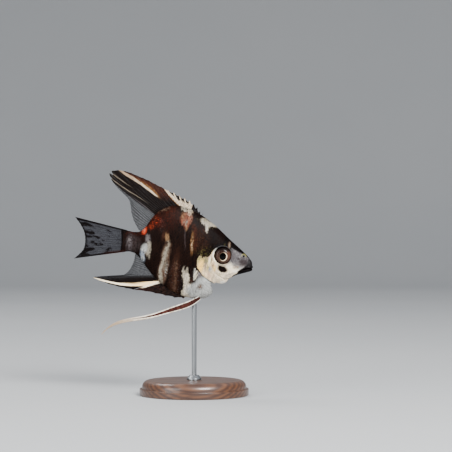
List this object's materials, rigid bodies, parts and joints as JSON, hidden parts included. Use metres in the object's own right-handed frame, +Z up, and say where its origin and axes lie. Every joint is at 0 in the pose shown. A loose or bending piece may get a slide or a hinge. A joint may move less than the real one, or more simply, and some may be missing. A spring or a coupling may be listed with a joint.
{
  "type": "marble angelfish display model",
  "caption": "Life-size juvenile marble angelfish, tall thin body with swept dorsal and anal fins and thread-like pelvic fins, nose-down on a rod over a round wooden base.",
  "frame": {"origin": "middle of the whole model's box, on the floor under the wooden base", "axes": "+X towards the fish's snout, +Y towards its left flank, +Z up"},
  "size_m": [0.0588, 0.036, 0.0742],
  "materials": {
    "marbled_skin": "satin",
    "dark_fin": "satin",
    "clear_fin": "satin",
    "eye": "gloss",
    "stand_wood": "satin",
    "stand_steel": "satin"
  },
  "bodies": {
    "root": {"head": "marbled_skin", "lower_jaw": "marbled_skin", "gill_cover_right": "marbled_skin", "gill_cover_left": "marbled_skin", "eye_right": "eye", "eye_left": "eye", "trunk": "marbled_skin", "tail_stem": "marbled_skin", "dorsal_fin_spines": "dark_fin", "dorsal_fin_rays": "dark_fin", "anal_fin_spines": "dark_fin", "anal_fin_rays": "dark_fin", "caudal_fin": "clear_fin", "pelvic_fin_right": "dark_fin", "pelvic_fin_left": "dark_fin", "pectoral_fin_right": "clear_fin", "pectoral_fin_left": "clear_fin", "stand_base": "stand_wood", "stand_collar": "stand_steel", "stand_rod": "stand_steel"}
  },
  "joints": []
}
